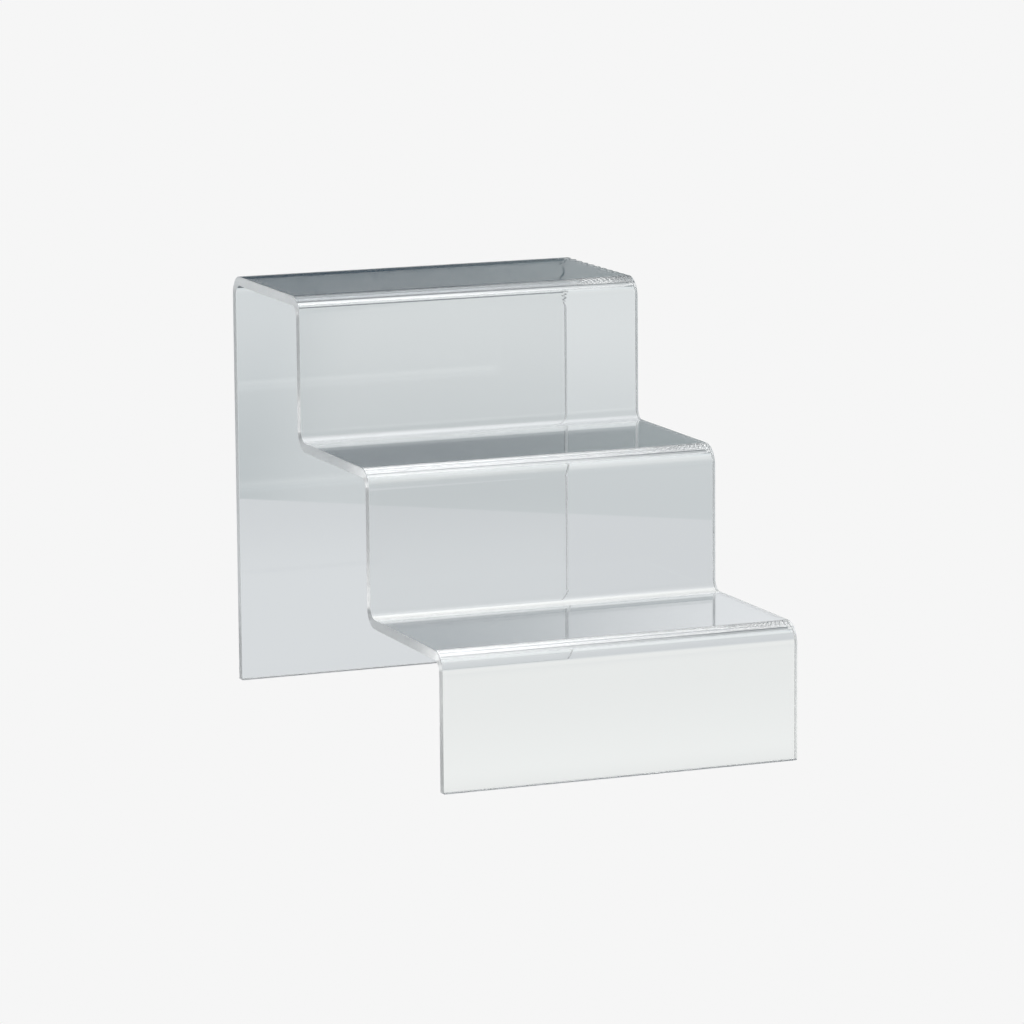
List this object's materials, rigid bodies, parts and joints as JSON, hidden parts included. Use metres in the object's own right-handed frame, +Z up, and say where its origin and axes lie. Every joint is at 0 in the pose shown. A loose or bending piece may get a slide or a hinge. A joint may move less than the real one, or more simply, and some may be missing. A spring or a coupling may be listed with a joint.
{
  "type": "tiered shelf riser",
  "caption": "Stepped display riser bent from one clear acrylic sheet, with open ends, a full-height back panel and a short front panel.",
  "frame": {"origin": "centre of the footprint, on the surface that the riser stands on", "axes": "+Z up, -Y is the front, where the lowest shelf is, and X runs along the bends, from one open end to the other"},
  "size_m": [0.152, 0.244, 0.176],
  "materials": {
    "clear_acrylic": "clear, polished faces; cut edges slightly frosted and pale grey"
  },
  "bodies": {
    "root": {"bent_sheet": "clear_acrylic"}
  },
  "joints": []
}
